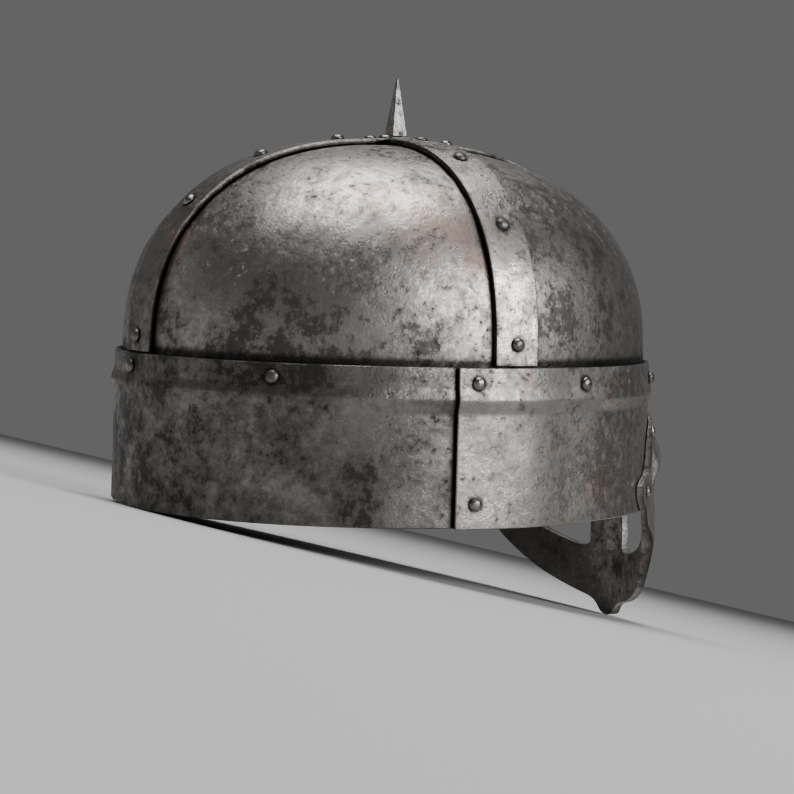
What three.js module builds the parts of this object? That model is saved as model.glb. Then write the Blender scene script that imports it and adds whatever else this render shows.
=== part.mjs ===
// Norse iron spectacle helmet: four dome plates, a crest band and a side band crossing at the top,
// a brow band in two lapped lengths, a square spike, an eye guard with a nose piece, and domed rivets.
//
// Millimetres. Everything is built level first: the rim lies at z = 0, the front faces -Y and the
// wearer's right is -X. The whole helmet is then tipped back, as it rests by itself on the tip of its
// nose piece and on the back of its rim.
import * as THREE from "three";

// Plan of the brow band's outer face at the rim, a little squarer than an ellipse
const HALF_LENGTH = 115;
const HALF_WIDTH = 99.6;
const PLAN_CENTRE_Y = 1.4;
const RIM_POWER = 2.05;

// Brow band
const BROW_HEIGHT = 61.4;
const BROW_TAPER = 0.5;
const BROW_THICKNESS = 2.3;
const RIDGE_LOW = 43.8;
const RIDGE_CREST = 49.2;
const RIDGE_HIGH = 53.2;
const RIDGE_RISE = 1.6;
const RIDGE_LEAN = 0.4;

// Lap of the front length over the rear one, as distances along the rim from the front centre
const LAP_FRONT_END = 194.5;
const LAP_REAR_END = 172;
const LAP_LIFT_START = 138;
const LAP_LIFT_FULL = 166;

// Dome
const DOME_INSET = 2.98;
const DOME_PLAN_POWER = 2.075;
const DOME_RISE = 86.7;
const DOME_POWER_UP = 2.37;
const DOME_POWER_OUT = 2.45;
const PLATE_THICKNESS = 1.8;
const PLATE_HALF_SPLIT = 0.6;
const PLATE_TUCK = 11;
const PLATE_TOP_SHARE = 0.07;

// Crossing bands
const BAND_WIDTH = 19.1;
const BAND_THICKNESS = 2.3;
const CROSSING_FLAT = 10.4;
const CROSSING_END = 17;
const CROSSING_SIDE_THICKNESS = 1;
const CROSSING_CREST_THICKNESS = 1.1;
const MOUND_RISE = 0.9;
const MOUND_SPREAD = 6;

// Spike
const SPIKE_BASE = 7;
const SPIKE_TIP = 0.9;
const SPIKE_HEIGHT = 24;

// Eye guard
const GUARD_THICKNESS = 2.9;
const GUARD_MARGIN_THICKNESS = 1.5;
const GUARD_MARGIN = 5.5;
const GUARD_BROW_RISE = 2.8;
const GUARD_RING_RISE = 2.3;
const GUARD_SIDE_TUCK = 0.2;
const NOSE_HALF_WIDTH = 11.8;
const NOSE_EXTRA_THICKNESS = 0.6;
const NOSE_LEAD = 2.9;
const NOSE_DROP = 55.6;
const NOSE_TIP_FLARE = 1.1;

// Rivets
const RIVET_RADIUS = 2.7;
const RIVET_HEIGHT = 2;
const SMALL_RIVET_RADIUS = 2.2;
const SMALL_RIVET_HEIGHT = 1.6;
const CROSSING_RIVET_HEIGHT = 1.4;
const RIVET_SIDES = 10;

// Gap kept between neighbouring pieces
const GAP = 0.35;

// Lower edge of the eye guard: distance along the face from its middle, and height above the rim
const GUARD_LOWER_EDGE = [
  { along: 0, up: -NOSE_DROP },
  { along: 2.6, up: -55.2 },
  { along: 4.5, up: -53.9 },
  { along: 6.2, up: -51.9 },
  { along: 8.2, up: -50.1 },
  { along: 11, up: -48.8 },
  { along: 19, up: -46.6 },
  { along: 27, up: -43.9 },
  { along: 36, up: -40.1 },
  { along: 44.5, up: -35.2 },
  { along: 53, up: -29 },
  { along: 60, up: -22.5 },
  { along: 68, up: -10 },
  { along: 75, up: -4 },
  { along: 80, up: 1 },
  { along: 84, up: 4 },
  { along: 86.5, up: 7 },
];

// Upper edge of the eye guard, over the brow
const GUARD_UPPER_EDGE = [
  { along: 0, up: 31 },
  { along: 14, up: 36 },
  { along: 30, up: 39 },
  { along: 46, up: 38.5 },
  { along: 58, up: 35.8 },
  { along: 66, up: 33 },
  { along: 70, up: 28 },
  { along: 72, up: 21 },
  { along: 77, up: 15.6 },
  { along: 83, up: 13.6 },
  { along: 86.5, up: 11.2 },
];

// Eye opening: its lower and upper edges meet at its outer corner
const EYE_CORNER = 51;
const EYE_LOWER_EDGE = [
  { along: NOSE_HALF_WIDTH, up: -24.2 },
  { along: 14.5, up: -25.7 },
  { along: 20, up: -25.3 },
  { along: 27, up: -23.6 },
  { along: 37.5, up: -20.1 },
  { along: 45, up: -15.6 },
  { along: 49, up: -11.8 },
  { along: EYE_CORNER, up: -8.8 },
];
const EYE_UPPER_EDGE = [
  { along: NOSE_HALF_WIDTH, up: -4.6 },
  { along: 14.5, up: -3.2 },
  { along: 30, up: -1.6 },
  { along: 42, up: -2.4 },
  { along: 48, up: -4.4 },
  { along: EYE_CORNER, up: -7.2 },
];

// Domed rivets on the crossing bands, as angles up from each foot
const CREST_RIVET_ANGLES = [3.4, 33, 52.2, 73.2];
const SIDE_RIVET_ANGLES = [5.2, 33, 57.2];
const CROSSING_RIVET = { across: 6.2, along: 8.6 };

// Rivets of the brow band on the wearer's right: distance along the rim and height
const BROW_RIVETS = [
  { along: 64.8, up: 54.8 },
  { along: 132.8, up: 55 },
  { along: 186.6, up: 55.5 },
  { along: 186.6, up: 9.5 },
  { along: 265.8, up: 56 },
];

// The single rivets at the brow band's front and rear. The rear one sits a little to the left.
const FRONT_RIVET_UP = 54.8;
const REAR_RIVET = { toLeft: 2.6, up: 56 };

// Rivets of the eye guard on the wearer's right
const GUARD_RIVETS = [
  { along: 59, up: 32.2 },
  { along: 80.2, up: 8.8 },
];

const IRON_DARK = new THREE.MeshStandardMaterial({ color: 0x4c4b4a, roughness: 0.5, metalness: 0.9 });
const IRON_LIGHT = new THREE.MeshStandardMaterial({ color: 0x6b6967, roughness: 0.42, metalness: 0.9 });
const IRON_RIVET = new THREE.MeshStandardMaterial({ color: 0x5b5956, roughness: 0.4, metalness: 0.9 });

const helmet = new THREE.Group();

// A smooth step from 0 at one end to 1 at the other.
function ease(value, start, end) {
  const t = THREE.MathUtils.clamp((value - start) / (end - start), 0, 1);
  return t * t * (3 - 2 * t);
}

function bell(value, middle, spread) {
  return Math.exp(-(((value - middle) / spread) ** 2));
}

// Height on a smooth curve through a table's points. Slopes are limited, so it never overshoots them.
function heightAt(table, along) {
  const last = table.length - 1;
  if (along <= table[0].along) return table[0].up;
  if (along >= table[last].along) return table[last].up;
  const secant = (i) => (table[i + 1].up - table[i].up) / (table[i + 1].along - table[i].along);
  const slope = (i) => {
    if (i === 0) return secant(0);
    if (i === last) return secant(last - 1);
    const before = secant(i - 1);
    const after = secant(i);
    return before * after <= 0 ? 0 : (2 * before * after) / (before + after);
  };
  const i = table.findIndex((row) => row.along > along) - 1;
  const width = table[i + 1].along - table[i].along;
  const t = (along - table[i].along) / width;
  const start = table[i].up * (1 + 2 * t) * (1 - t) ** 2 + slope(i) * width * t * (1 - t) ** 2;
  const end = table[i + 1].up * (3 - 2 * t) * t ** 2 - slope(i + 1) * width * (1 - t) * t ** 2;
  return start + end;
}

// A point of a plan at a turn from the front towards the wearer's right.
function planPoint(turn, halfLength, halfWidth, power, z) {
  const across = Math.abs(Math.sin(turn)) ** power;
  const forward = Math.abs(Math.cos(turn)) ** power;
  const reach = (across + forward) ** (-1 / power);
  const x = -halfWidth * reach * Math.sin(turn);
  const y = PLAN_CENTRE_Y - halfLength * reach * Math.cos(turn);
  return new THREE.Vector3(x, y, z);
}

// Outer face of the brow band, carried on below the rim as the face that the eye guard follows.
function wallPoint(turn, z) {
  const taper = (BROW_TAPER * Math.max(z, 0)) / BROW_HEIGHT;
  const tuck = GUARD_SIDE_TUCK * Math.max(-z, 0);
  return planPoint(turn, HALF_LENGTH - taper, HALF_WIDTH - taper - tuck, RIM_POWER, z);
}

// A point at a distance out from that face.
function offWall(turn, z, out) {
  const step = 0.002;
  const along = wallPoint(turn + step, z).sub(wallPoint(turn - step, z));
  const up = wallPoint(turn, z + 0.05).sub(wallPoint(turn, z - 0.05));
  const normal = up.cross(along).normalize();
  return wallPoint(turn, z).addScaledVector(normal, out);
}

// The turn at which a distance along the face from the front centre is reached, at a height.
function turnAt(along, z) {
  const step = Math.PI / 720;
  let turn = 0;
  let walked = 0;
  let here = wallPoint(0, z);
  const goal = Math.abs(along);
  while (walked < goal) {
    const next = wallPoint(turn + step, z);
    const stride = next.distanceTo(here);
    if (walked + stride >= goal) {
      turn += (step * (goal - walked)) / stride;
      break;
    }
    walked += stride;
    turn += step;
    here = next;
  }
  return Math.sign(along) * turn;
}

// How far a point lies out in the dome's own measure: 1 on the outer face of its plates.
const DOME_HALF_LENGTH = HALF_LENGTH - BROW_TAPER - DOME_INSET;
const DOME_HALF_WIDTH = HALF_WIDTH - BROW_TAPER - DOME_INSET;
function domeMeasure(point) {
  const across = Math.abs(point.x / DOME_HALF_WIDTH) ** DOME_PLAN_POWER;
  const forward = Math.abs((point.y - PLAN_CENTRE_Y) / DOME_HALF_LENGTH) ** DOME_PLAN_POWER;
  const up = Math.max(point.z - BROW_HEIGHT, 0) / DOME_RISE;
  return (across + forward) ** (DOME_POWER_OUT / DOME_PLAN_POWER) + up ** DOME_POWER_UP;
}

function domeNormal(point) {
  const step = 0.01;
  const gradient = ["x", "y", "z"].map((axis) => {
    const ahead = point.clone();
    const behind = point.clone();
    ahead[axis] += step;
    behind[axis] -= step;
    return domeMeasure(ahead) - domeMeasure(behind);
  });
  return new THREE.Vector3(...gradient).normalize();
}

// A point of the dome on a ray from its middle axis, at a fixed distance beside the band's centre line.
function domePoint(direction, beside, out) {
  const centre = new THREE.Vector3(0, 0, BROW_HEIGHT).add(beside);
  let near = 0;
  let far = 2 * HALF_LENGTH;
  for (let i = 0; i < 40; i += 1) {
    const middle = (near + far) / 2;
    if (domeMeasure(centre.clone().addScaledVector(direction, middle)) > 1) far = middle;
    else near = middle;
  }
  const point = centre.addScaledVector(direction, near);
  return point.addScaledVector(domeNormal(point), out);
}

// A curved sheet with thickness. outer and inner give the points of a column and row, and metal says
// which cells are solid, so a sheet may have openings. Every free edge gets its side wall.
function sheet(columns, rows, outer, inner, metal = () => true) {
  const positions = [];
  const index = [];
  const numbers = new Map();
  const vertex = (i, j, face) => {
    const key = `${i},${j},${face}`;
    if (!numbers.has(key)) {
      const point = face === 0 ? outer(i, j) : inner(i, j);
      numbers.set(key, positions.length / 3);
      positions.push(point.x, point.y, point.z);
    }
    return numbers.get(key);
  };
  const quad = (a, b, c, d) => index.push(a, b, c, a, c, d);
  const solid = (i, j) => i >= 0 && j >= 0 && i < columns - 1 && j < rows - 1 && metal(i, j);
  for (let i = 0; i < columns - 1; i += 1) {
    for (let j = 0; j < rows - 1; j += 1) {
      if (!solid(i, j)) continue;
      quad(vertex(i, j, 0), vertex(i, j + 1, 0), vertex(i + 1, j + 1, 0), vertex(i + 1, j, 0));
      quad(vertex(i, j, 1), vertex(i + 1, j, 1), vertex(i + 1, j + 1, 1), vertex(i, j + 1, 1));
      if (!solid(i, j - 1)) quad(vertex(i, j, 0), vertex(i + 1, j, 0), vertex(i + 1, j, 1), vertex(i, j, 1));
      if (!solid(i, j + 1)) {
        quad(vertex(i, j + 1, 1), vertex(i + 1, j + 1, 1), vertex(i + 1, j + 1, 0), vertex(i, j + 1, 0));
      }
      if (!solid(i - 1, j)) quad(vertex(i, j, 1), vertex(i, j + 1, 1), vertex(i, j + 1, 0), vertex(i, j, 0));
      if (!solid(i + 1, j)) {
        quad(vertex(i + 1, j, 0), vertex(i + 1, j + 1, 0), vertex(i + 1, j + 1, 1), vertex(i + 1, j, 1));
      }
    }
  }
  return facingOut(positions, index);
}

// Turns every face round when the body came out inside out.
function facingOut(positions, index) {
  const corner = (n) => new THREE.Vector3(...positions.slice(3 * n, 3 * n + 3));
  let volume = 0;
  for (let t = 0; t < index.length; t += 3) {
    volume += corner(index[t]).dot(corner(index[t + 1]).cross(corner(index[t + 2])));
  }
  if (volume < 0) index.reverse();
  const geometry = new THREE.BufferGeometry();
  geometry.setAttribute("position", new THREE.Float32BufferAttribute(positions, 3));
  geometry.setIndex(index);
  geometry.computeVertexNormals();
  return geometry;
}

function add(name, geometry, material) {
  const mesh = new THREE.Mesh(geometry, material);
  mesh.name = name;
  helmet.add(mesh);
  return mesh;
}

// Evenly spaced values from start to end.
function evenly(start, end, steps) {
  return Array.from({ length: steps + 1 }, (_, i) => start + ((end - start) * i) / steps);
}

// Dome plates: each fills a quarter between the crest band and the side band, and reaches a little way
// down inside the brow band. Their inner corners are cut away under the crossing.
const PLATE_COLUMNS = 14;
const PLATE_ROWS = 13;
const plateLevels = evenly(0, 1, PLATE_ROWS).map((share) => {
  const lastOut = PLATE_TOP_SHARE ** (DOME_POWER_OUT / 2);
  const angle = share * Math.acos(lastOut);
  return {
    out: Math.cos(angle) ** (2 / DOME_POWER_OUT),
    z: BROW_HEIGHT + DOME_RISE * Math.sin(angle) ** (2 / DOME_POWER_UP),
  };
});
plateLevels.unshift({ out: 1, z: BROW_HEIGHT - PLATE_TUCK });

// The turn at a share of a plate's width. Its ends stop short of both bands' centre lines.
function plateTurn(level, share, towardsRear) {
  const fromCrest = Math.asin(PLATE_HALF_SPLIT / (DOME_HALF_WIDTH * level.out));
  const sideY = towardsRear ? PLATE_HALF_SPLIT : -PLATE_HALF_SPLIT;
  const toSide = Math.acos((PLAN_CENTRE_Y - sideY) / (DOME_HALF_LENGTH * level.out));
  return towardsRear
    ? toSide + (Math.PI - fromCrest - toSide) * share
    : fromCrest + (toSide - fromCrest) * share;
}

function domePlate(towardsRear, side) {
  const face = (out) => (i, j) => {
    const level = plateLevels[j];
    const turn = plateTurn(level, i / PLATE_COLUMNS, towardsRear);
    const halfLength = DOME_HALF_LENGTH * level.out;
    const halfWidth = DOME_HALF_WIDTH * level.out;
    const point = planPoint(turn, halfLength, halfWidth, DOME_PLAN_POWER, level.z);
    point.addScaledVector(domeNormal(point), out);
    point.x *= side;
    return point;
  };
  return sheet(PLATE_COLUMNS + 1, plateLevels.length, face(0), face(-PLATE_THICKNESS));
}
const SIDES = [
  { word: "right", mirror: 1 },
  { word: "left", mirror: -1 },
];
for (const side of SIDES) {
  add(`dome_plate_front_${side.word}`, domePlate(false, side.mirror), IRON_DARK);
  add(`dome_plate_rear_${side.word}`, domePlate(true, side.mirror), IRON_DARK);
}

// Crossing bands. The crest band runs from front to rear and passes over the side band.
const BAND_ACROSS = evenly(-BAND_WIDTH / 2, BAND_WIDTH / 2, 3);
const FOOT_ANGLE = (GAP + 0.15) / DOME_HALF_LENGTH;

function crestPoint(angle, across, out) {
  const beside = new THREE.Vector3(across, PLAN_CENTRE_Y, 0);
  const direction = new THREE.Vector3(0, -Math.cos(angle), Math.sin(angle));
  return domePoint(direction, beside, out);
}

function sidePoint(angle, across, out) {
  const beside = new THREE.Vector3(0, across, 0);
  const direction = new THREE.Vector3(-Math.cos(angle), 0, Math.sin(angle));
  return domePoint(direction, beside, out);
}

// Both bands are thinner where they cross, so that the crest band hardly stands proud there. It rises
// in a low mound under the spike.
const bandOuter = GAP + BAND_THICKNESS;
const crossingShare = (distance) => 1 - ease(Math.abs(distance), CROSSING_FLAT, CROSSING_END);
function sideOuter(x) {
  return THREE.MathUtils.lerp(bandOuter, GAP + CROSSING_SIDE_THICKNESS, crossingShare(x));
}
function crestInner(y) {
  return GAP + (CROSSING_SIDE_THICKNESS + GAP) * crossingShare(y);
}
function crestOuter(y) {
  const crossing = GAP + CROSSING_SIDE_THICKNESS + GAP + CROSSING_CREST_THICKNESS;
  return THREE.MathUtils.lerp(bandOuter, crossing, crossingShare(y)) + MOUND_RISE * bell(y, 0, MOUND_SPREAD);
}

const crestAngleAt = (y) => Math.PI / 2 + (y - PLAN_CENTRE_Y) / DOME_RISE;
const sideAngleAt = (x) => Math.PI / 2 + x / DOME_RISE;
// Angles along a band: close together where it eases into the crossing.
function bandAngles(angleAt) {
  return [
    ...evenly(FOOT_ANGLE, angleAt(-CROSSING_END), 13),
    ...evenly(angleAt(-CROSSING_END), angleAt(-CROSSING_FLAT), 3).slice(1),
    ...evenly(angleAt(-CROSSING_FLAT), angleAt(CROSSING_FLAT), 4).slice(1),
    ...evenly(angleAt(CROSSING_FLAT), angleAt(CROSSING_END), 3).slice(1),
    ...evenly(angleAt(CROSSING_END), Math.PI - FOOT_ANGLE, 13).slice(1),
  ];
}
const CREST_ANGLES = bandAngles(crestAngleAt);
const SIDE_ANGLES = bandAngles(sideAngleAt);

const crestFace = (offset) => (i, j) => {
  const { y } = crestPoint(CREST_ANGLES[i], BAND_ACROSS[j], 0);
  return crestPoint(CREST_ANGLES[i], BAND_ACROSS[j], offset(y));
};
const sideFace = (offset) => (i, j) => {
  const { x } = sidePoint(SIDE_ANGLES[i], BAND_ACROSS[j], 0);
  return sidePoint(SIDE_ANGLES[i], BAND_ACROSS[j], offset(x));
};
const onPlates = () => GAP;
add(
  "crest_band",
  sheet(CREST_ANGLES.length, BAND_ACROSS.length, crestFace(crestOuter), crestFace(crestInner)),
  IRON_LIGHT,
);
add(
  "side_band",
  sheet(SIDE_ANGLES.length, BAND_ACROSS.length, sideFace(sideOuter), sideFace(onPlates)),
  IRON_LIGHT,
);

// Brow band. Its ridge has a sharp crest, and the strip above the ridge leans out a little.
const BROW_LEVELS = [0, 22, RIDGE_LOW, RIDGE_CREST, RIDGE_HIGH, BROW_HEIGHT];

function ridge(z) {
  const { mapLinear, clamp } = THREE.MathUtils;
  if (z < RIDGE_CREST) return clamp(mapLinear(z, RIDGE_LOW, RIDGE_CREST, 0, RIDGE_RISE), 0, RIDGE_RISE);
  if (z < RIDGE_HIGH) return mapLinear(z, RIDGE_CREST, RIDGE_HIGH, RIDGE_RISE, RIDGE_LEAN);
  return mapLinear(z, RIDGE_HIGH, BROW_HEIGHT, RIDGE_LEAN, 0);
}

function lapLift(along) {
  return (BROW_THICKNESS + GAP) * ease(Math.abs(along), LAP_LIFT_START, LAP_LIFT_FULL);
}

function halfGirth() {
  let girth = 0;
  for (let step = 0; step < 720; step += 1) {
    const turn = (Math.PI * step) / 720;
    girth += wallPoint(turn, 0).distanceTo(wallPoint(turn + Math.PI / 720, 0));
  }
  return girth;
}
const HALF_GIRTH = halfGirth();

// Distances are measured on the rim, so that a column stands upright from rim to top edge.
function columnAt(along) {
  const turn = along <= HALF_GIRTH ? turnAt(along, 0) : 2 * Math.PI - turnAt(2 * HALF_GIRTH - along, 0);
  return { along, turn };
}

// A length of the brow band between two distances. The front length laps over the ends of the rear one.
function browLength(start, end, steps, lift) {
  const columns = evenly(start, end, steps).map(columnAt);
  const face = (out) => (i, j) => {
    const z = BROW_LEVELS[j];
    return offWall(columns[i].turn, z, out + ridge(z) + lift(columns[i].along));
  };
  return sheet(columns.length, BROW_LEVELS.length, face(0), face(-BROW_THICKNESS));
}
const noLift = () => 0;
add("brow_band_front", browLength(-LAP_FRONT_END, LAP_FRONT_END, 44, lapLift), IRON_LIGHT);
add("brow_band_rear", browLength(LAP_REAR_END, 2 * HALF_GIRTH - LAP_REAR_END, 38, noLift), IRON_DARK);

// Eye guard. Its rows run from the lower edge to the eye opening, over the opening, and up to the
// upper edge. The cells over the opening are left out.
const GUARD_END = 86.5;
const GUARD_HALF_COLUMNS = [
  ...[0, 2.6, 4.5, 6.2, 8.2, 10, NOSE_HALF_WIDTH],
  ...[14.5, 19, 25, 31, 37, 42, 46, 49, EYE_CORNER],
  ...[55, 60, 64, 68, 70, 72, 74, 77, 80.5, 84, GUARD_END],
];
const GUARD_COLUMNS = [
  ...GUARD_HALF_COLUMNS.slice(1).reverse().map((along) => -along),
  ...GUARD_HALF_COLUMNS,
];
const GUARD_LOWER_ROWS = [0, 0.35, 0.68, 1];
const GUARD_EYE_ROWS = [0.5, 1];
const GUARD_UPPER_ROWS = [0.22, 0.4, 0.55, 0.7, 0.84, 1];
const GUARD_ROWS = GUARD_LOWER_ROWS.length + GUARD_EYE_ROWS.length + GUARD_UPPER_ROWS.length;

function eyeEdges(along) {
  const lower = heightAt(EYE_LOWER_EDGE, along);
  const upper = heightAt(EYE_UPPER_EDGE, along);
  const bottom = heightAt(GUARD_LOWER_EDGE, along);
  const top = heightAt(GUARD_UPPER_EDGE, along);
  const beyond = ease(along, EYE_CORNER, 72);
  return {
    bottom,
    lower: THREE.MathUtils.lerp(lower, bottom + (top - bottom) * 0.4, beyond),
    upper: THREE.MathUtils.lerp(upper, bottom + (top - bottom) * 0.5, beyond),
    top,
  };
}

function guardHeight(along, row) {
  const edge = eyeEdges(along);
  if (row < GUARD_LOWER_ROWS.length) {
    return THREE.MathUtils.lerp(edge.bottom, edge.lower, GUARD_LOWER_ROWS[row]);
  }
  const eyeRow = row - GUARD_LOWER_ROWS.length;
  if (eyeRow < GUARD_EYE_ROWS.length) {
    return THREE.MathUtils.lerp(edge.lower, edge.upper, GUARD_EYE_ROWS[eyeRow]);
  }
  return THREE.MathUtils.lerp(edge.upper, edge.top, GUARD_UPPER_ROWS[eyeRow - GUARD_EYE_ROWS.length]);
}

// The back of the guard lies on the brow band, and its nose piece leads a little forward below the rim.
function guardBack(along, z) {
  return GAP + NOSE_LEAD * ease(-z, 0, 13) * bell(along, 0, 26);
}

// Thin at its upper margin, with a raised brow over each eye and a rounded ring below it. The arm at
// the temple has one thickness all over, and the tip of the nose piece flares a little forward.
function guardThickness(along, z) {
  const belowTop = heightAt(GUARD_UPPER_EDGE, along) - z;
  const whole = Math.max(ease(belowTop, GUARD_MARGIN, GUARD_MARGIN + 3), ease(along, 66, 72));
  const body = THREE.MathUtils.lerp(GUARD_MARGIN_THICKNESS, GUARD_THICKNESS, whole);
  const brow = GUARD_BROW_RISE * bell(belowTop, 14.5, 5) * (1 - ease(along, 66, 74));
  const ring = GUARD_RING_RISE * bell(z, -14, 14) * ease(along, 20, 40) * (1 - ease(along, 64, 74));
  const nose = NOSE_EXTRA_THICKNESS * bell(along, 0, 14) * ease(-z, -10, 5);
  const tip = NOSE_TIP_FLARE * bell(along, 0, 7) * ease(-z, 49.5, 53.5);
  return body + brow + ring + nose + tip;
}

const guardFace = (front) => (i, j) => {
  const along = GUARD_COLUMNS[i];
  const distance = Math.abs(along);
  const z = guardHeight(distance, j);
  const out = guardBack(distance, z) + (front ? guardThickness(distance, z) : 0);
  return offWall(turnAt(along, z), z, out);
};

function guardMetal(i, j) {
  const from = Math.min(Math.abs(GUARD_COLUMNS[i]), Math.abs(GUARD_COLUMNS[i + 1]));
  const to = Math.max(Math.abs(GUARD_COLUMNS[i]), Math.abs(GUARD_COLUMNS[i + 1]));
  const overEye = from >= NOSE_HALF_WIDTH && to <= EYE_CORNER;
  const firstEyeRow = GUARD_LOWER_ROWS.length - 1;
  const inEyeRows = j >= firstEyeRow && j < firstEyeRow + GUARD_EYE_ROWS.length;
  return !(overEye && inEyeRows);
}
add(
  "eye_guard",
  sheet(GUARD_COLUMNS.length, GUARD_ROWS, guardFace(true), guardFace(false), guardMetal),
  IRON_LIGHT,
);

// Spike: a tall square pyramid standing on the crossing.
const crossingTop = crestPoint(Math.PI / 2, 0, crestOuter(0)).z;
const diagonal = Math.SQRT2 / 2;
const spike = add(
  "spike",
  new THREE.CylinderGeometry(SPIKE_TIP * diagonal, SPIKE_BASE * diagonal, SPIKE_HEIGHT, 4),
  IRON_LIGHT,
);
spike.rotation.set(Math.PI / 2, Math.PI / 4, 0, "XYZ");
spike.position.set(0, 0, crossingTop + GAP + SPIKE_HEIGHT / 2);

// Domed rivets
function rivetGeometry(radius, height) {
  const profile = [
    new THREE.Vector2(0, 0),
    new THREE.Vector2(radius, 0),
    new THREE.Vector2(radius * 0.86, height * 0.55),
    new THREE.Vector2(radius * 0.5, height * 0.9),
    new THREE.Vector2(0, height),
  ];
  return new THREE.LatheGeometry(profile, RIVET_SIDES);
}
const RIVET = rivetGeometry(RIVET_RADIUS, RIVET_HEIGHT);
const SMALL_RIVET = rivetGeometry(SMALL_RIVET_RADIUS, SMALL_RIVET_HEIGHT);
const FLAT_RIVET = rivetGeometry(RIVET_RADIUS, CROSSING_RIVET_HEIGHT);

// Seats a rivet just clear of the face that passes through foot, with its dome along outward.
function rivet(name, geometry, foot, outward) {
  const mesh = add(name, geometry, IRON_RIVET);
  mesh.quaternion.setFromUnitVectors(new THREE.Vector3(0, 1, 0), outward);
  mesh.position.copy(foot).addScaledVector(outward, GAP);
}

function numbered(name, number) {
  return `${name}_${String(number).padStart(2, "0")}`;
}

let crestRivets = 0;
for (const end of [0, 1]) {
  for (const degrees of CREST_RIVET_ANGLES) {
    const angle = THREE.MathUtils.degToRad(end === 0 ? degrees : 180 - degrees);
    const face = crestPoint(angle, 0, bandOuter);
    crestRivets += 1;
    rivet(numbered("rivet_crest", crestRivets), RIVET, face, domeNormal(crestPoint(angle, 0, 0)));
  }
}

let sideRivets = 0;
for (const end of [0, 1]) {
  for (const degrees of SIDE_RIVET_ANGLES) {
    const angle = THREE.MathUtils.degToRad(end === 0 ? degrees : 180 - degrees);
    const face = sidePoint(angle, 0, bandOuter);
    sideRivets += 1;
    rivet(numbered("rivet_side", sideRivets), RIVET, face, domeNormal(sidePoint(angle, 0, 0)));
  }
}

let crossingRivets = 0;
for (const across of [-CROSSING_RIVET.across, CROSSING_RIVET.across]) {
  for (const y of [-CROSSING_RIVET.along, CROSSING_RIVET.along]) {
    const angle = crestAngleAt(y);
    const face = crestPoint(angle, across, crestOuter(y));
    const outward = domeNormal(crestPoint(angle, across, 0));
    crossingRivets += 1;
    rivet(numbered("rivet_crossing", crossingRivets), FLAT_RIVET, face, outward);
  }
}

// The wall's outward direction at a place on it.
function wallNormal(turn, z) {
  return offWall(turn, z, 1).sub(wallPoint(turn, z)).normalize();
}

// A rivet near the ridge clears the slope under its lower side.
let browRivets = 0;
function browRivet(turn, z, lift) {
  const out = lift + ridge(z - RIVET_RADIUS);
  browRivets += 1;
  rivet(numbered("rivet_brow", browRivets), RIVET, offWall(turn, z, out), wallNormal(turn, z));
}
for (const place of BROW_RIVETS) {
  const lift = place.along < LAP_FRONT_END ? lapLift(place.along) : 0;
  const turn = turnAt(place.along, 0);
  browRivet(turn, place.up, lift);
  browRivet(-turn, place.up, lift);
}
browRivet(0, FRONT_RIVET_UP, 0);
browRivet(Math.PI + Math.asin(REAR_RIVET.toLeft / HALF_WIDTH), REAR_RIVET.up, 0);

// The guard's outer face stands highest somewhere under the rivet's rim, and the rivet clears it there.
let guardRivets = 0;
function guardRivet(along, z) {
  let out = 0;
  for (let spoke = 0; spoke < 8; spoke += 1) {
    const angle = (Math.PI * spoke) / 4;
    const distance = Math.abs(along + 1.2 * SMALL_RIVET_RADIUS * Math.cos(angle));
    const height = z + 1.2 * SMALL_RIVET_RADIUS * Math.sin(angle);
    out = Math.max(out, guardBack(distance, height) + guardThickness(distance, height));
  }
  const turn = turnAt(along, z);
  guardRivets += 1;
  rivet(numbered("rivet_guard", guardRivets), SMALL_RIVET, offWall(turn, z, out), wallNormal(turn, z));
}
for (const place of GUARD_RIVETS) {
  guardRivet(place.along, place.up);
  guardRivet(-place.along, place.up);
}
guardRivet(0, 27);

// Tip the helmet back until the nose piece and the back of the rim both touch the ground.
const rearY = wallPoint(Math.PI, 0).y;
const noseY = offWall(0, -NOSE_DROP, guardBack(0, -NOSE_DROP)).y;
const REST_TILT = Math.atan2(NOSE_DROP, rearY - noseY);
helmet.rotation.x = -REST_TILT;

// The part's origin is the middle of its outline on the ground.
const part = new THREE.Group();
part.add(helmet);
part.updateMatrixWorld(true);
const box = new THREE.Box3().setFromObject(part, true);
helmet.position.set(-(box.min.x + box.max.x) / 2, -(box.min.y + box.max.y) / 2, -box.min.z);

export default part;
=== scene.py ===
import math

import bpy
import numpy as np
from mathutils import Matrix, Vector, noise
from mathutils.kdtree import KDTree


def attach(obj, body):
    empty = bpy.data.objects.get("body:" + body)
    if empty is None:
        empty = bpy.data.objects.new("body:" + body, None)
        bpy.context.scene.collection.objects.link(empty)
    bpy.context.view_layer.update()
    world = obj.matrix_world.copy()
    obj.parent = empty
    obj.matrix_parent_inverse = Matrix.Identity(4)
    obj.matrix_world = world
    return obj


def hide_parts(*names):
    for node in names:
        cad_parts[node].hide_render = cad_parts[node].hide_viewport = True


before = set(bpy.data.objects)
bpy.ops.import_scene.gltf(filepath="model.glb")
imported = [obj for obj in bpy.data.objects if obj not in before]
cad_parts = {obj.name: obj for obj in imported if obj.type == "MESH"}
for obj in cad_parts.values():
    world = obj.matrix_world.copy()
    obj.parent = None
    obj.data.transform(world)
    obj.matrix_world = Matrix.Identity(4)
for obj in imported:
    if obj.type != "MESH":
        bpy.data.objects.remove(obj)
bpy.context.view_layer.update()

# The helmet is described level, in millimetres: the rim at z = 0, the front at -Y and the wearer's
# right at -X. It is then tipped back as it rests, and moved to the row's frame in metres.
REST_TILT = math.radians(13.40744)
REST_SHIFT = (0.0, 0.27299, 26.99016)

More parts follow.
